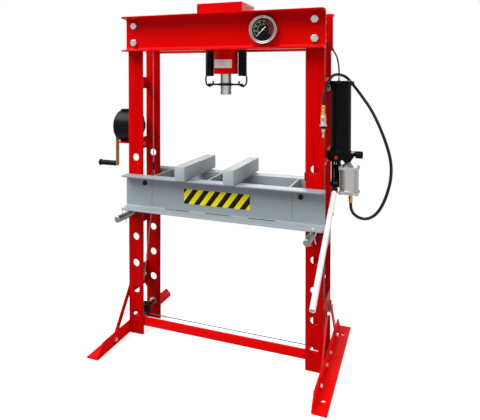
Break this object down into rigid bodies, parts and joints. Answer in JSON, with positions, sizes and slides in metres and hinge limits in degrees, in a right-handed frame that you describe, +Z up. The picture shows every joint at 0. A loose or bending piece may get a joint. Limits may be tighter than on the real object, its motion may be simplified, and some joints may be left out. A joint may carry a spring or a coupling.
{
  "type": "hydraulic workshop press",
  "caption": "H-frame hydraulic workshop press with a winch-lifted pinned table, spring-return ram, air-assisted pump with hand lever, pressure gauge and air hose.",
  "frame": {"origin": "point on the floor under the ram axis, at the centre of the four foot anchor holes", "axes": "+Z up along the ram axis, +X to the right along the beams, towards the pump, -Y to the front"},
  "size_m": [1.7696, 1.0583, 1.937],
  "materials": {
    "frame_paint": "gloss",
    "table_paint": "satin",
    "block_steel": "satin",
    "zinc_steel": "satin",
    "ground_steel": "polished",
    "cylinder_steel": "gloss",
    "black_steel": "satin",
    "winch_cover": "satin",
    "drum_steel": "satin",
    "crank_brass": "satin",
    "grip_plastic": "matte",
    "pulley_steel": "satin",
    "wire_rope": "satin",
    "chrome_bezel": "polished",
    "needle_white": "satin",
    "cast_aluminium": "satin",
    "fitting_brass": "satin",
    "handle_white": "satin",
    "plug_red": "gloss",
    "hose_rubber": "matte"
  },
  "bodies": {
    "frame": {"air_coupler": "fitting_brass", "air_hose": "hose_rubber", "air_inlet": "fitting_brass", "air_motor": "cast_aluminium", "base_bar": "frame_paint", "bracket_bolts": "zinc_steel", "cylinder_barrel": "cylinder_steel", "cylinder_saddle": "frame_paint", "foot_braces": "frame_paint", "foot_fasteners": "zinc_steel", "foot_left": "frame_paint", "foot_right": "frame_paint", "gauge_case": "chrome_bezel", "gauge_plate": "frame_paint", "head_beam_front": "frame_paint", "head_beam_rear": "frame_paint", "head_fasteners": "zinc_steel", "hose_ferrule": "fitting_brass", "oil_hose": "hose_rubber", "post_battens": "frame_paint", "post_left_front": "frame_paint", "post_left_rear": "frame_paint", "post_right_front": "frame_paint", "post_right_rear": "frame_paint", "pulley_shafts": "black_steel", "pump_block": "black_steel", "pump_plug": "plug_red", "reservoir": "black_steel", "rope_drop_left": "wire_rope", "rope_drop_right": "wire_rope", "rope_left_equaliser": "wire_rope", "rope_on_pulleys": "wire_rope", "spring_left": "black_steel", "spring_right": "black_steel", "winch_bracket": "frame_paint", "winch_housing": "winch_cover"},
    "ram": {"ram_rod": "ground_steel", "spring_yoke": "black_steel"},
    "table": {"table_beam_front": "table_paint", "table_beam_rear": "table_paint", "table_cross_plates": "table_paint", "table_lift_rods": "black_steel", "support_block_left": "block_steel", "support_block_right": "block_steel"},
    "pin_left": {"support_pin_left": "zinc_steel"},
    "pin_right": {"support_pin_right": "zinc_steel"},
    "drum": {"winch_drum": "drum_steel"},
    "crank_arm": {"crank": "crank_brass"},
    "grip": {"crank_grip": "grip_plastic"},
    "head_wheel_left": {"head_pulley_left": "pulley_steel"},
    "head_wheel_right": {"head_pulley_right": "pulley_steel"},
    "base_wheel_left": {"base_pulley_left": "pulley_steel"},
    "base_wheel_right": {"base_pulley_right": "pulley_steel"},
    "lever": {"pump_lever": "black_steel", "pump_handle": "handle_white"},
    "knob": {"release_knob": "grip_plastic"},
    "needle": {"gauge_needle": "needle_white"}
  },
  "joints": [
    {"name": "ram_slide", "type": "slide", "parent": "frame", "child": "ram", "axis": [0, 0, -1], "range_m": [0, 0.15], "stiffness_N_per_m": 3000, "springref_m": -0.05, "deforming": ["spring_left", "spring_right"]},
    {"name": "table_lift", "type": "slide", "parent": "frame", "child": "table", "axis": [0, 0, 1], "range_m": [0, 0.27], "deforming": ["rope_drop_left", "rope_drop_right", "rope_left_equaliser"]},
    {"name": "pin_left_slide", "type": "slide", "parent": "frame", "child": "pin_left", "axis": [0, -1, 0], "range_m": [0, 0.25]},
    {"name": "pin_right_slide", "type": "slide", "parent": "frame", "child": "pin_right", "axis": [0, -1, 0], "range_m": [0, 0.25]},
    {"name": "drum_spin", "type": "hinge", "parent": "frame", "child": "drum", "pos_m": [-0.555, 0.007, 1.227], "axis": [1, 0, 0], "range_deg": [0, 580]},
    {"name": "crank_spin", "type": "hinge", "parent": "frame", "child": "crank_arm", "pos_m": [-0.731, 0.007, 1.227], "axis": [1, 0, 0], "range_deg": [-2320, 0]},
    {"name": "grip_spin", "type": "hinge", "parent": "crank_arm", "child": "grip", "pos_m": [-0.8, 0.007, 0.986], "axis": [1, 0, 0], "continuous": true},
    {"name": "head_wheel_left_spin", "type": "hinge", "parent": "frame", "child": "head_wheel_left", "pos_m": [-0.5115, -0.02, 1.77], "axis": [0, 1, 0], "range_deg": [-310, 0]},
    {"name": "head_wheel_right_spin", "type": "hinge", "parent": "frame", "child": "head_wheel_right", "pos_m": [0.5115, 0, 1.77], "axis": [0, 1, 0], "range_deg": [0, 310]},
    {"name": "base_wheel_left_spin", "type": "hinge", "parent": "frame", "child": "base_wheel_left", "pos_m": [-0.53, 0, 0.112], "axis": [0, 1, 0], "range_deg": [0, 480]},
    {"name": "base_wheel_right_spin", "type": "hinge", "parent": "frame", "child": "base_wheel_right", "pos_m": [0.53, 0, 0.112], "axis": [0, 1, 0], "range_deg": [0, 480]},
    {"name": "lever_hinge", "type": "hinge", "parent": "frame", "child": "lever", "pos_m": [0.622, -0.01, 0.969], "axis": [-1, 0, 0], "range_deg": [0, 65]},
    {"name": "knob_turn", "type": "hinge", "parent": "frame", "child": "knob", "pos_m": [0.72, 0, 1.126], "axis": [1, 0, 0], "range_deg": [0, 540]},
    {"name": "needle_turn", "type": "hinge", "parent": "frame", "child": "needle", "pos_m": [0.262, -0.144, 1.778], "axis": [0, 1, 0], "range_deg": [0, 270], "stiffness_Nm_per_rad": 0.002, "springref_deg": -57.3}
  ],
  "couplings": [
    {"joint": "drum_spin", "follows": "table_lift", "rad_per_m": 37.037},
    {"joint": "crank_spin", "follows": "table_lift", "rad_per_m": -148.15},
    {"joint": "head_wheel_left_spin", "follows": "table_lift", "rad_per_m": -19.417},
    {"joint": "head_wheel_right_spin", "follows": "table_lift", "rad_per_m": 19.417},
    {"joint": "base_wheel_left_spin", "follows": "table_lift", "rad_per_m": 30.303},
    {"joint": "base_wheel_right_spin", "follows": "table_lift", "rad_per_m": 30.303}
  ]
}
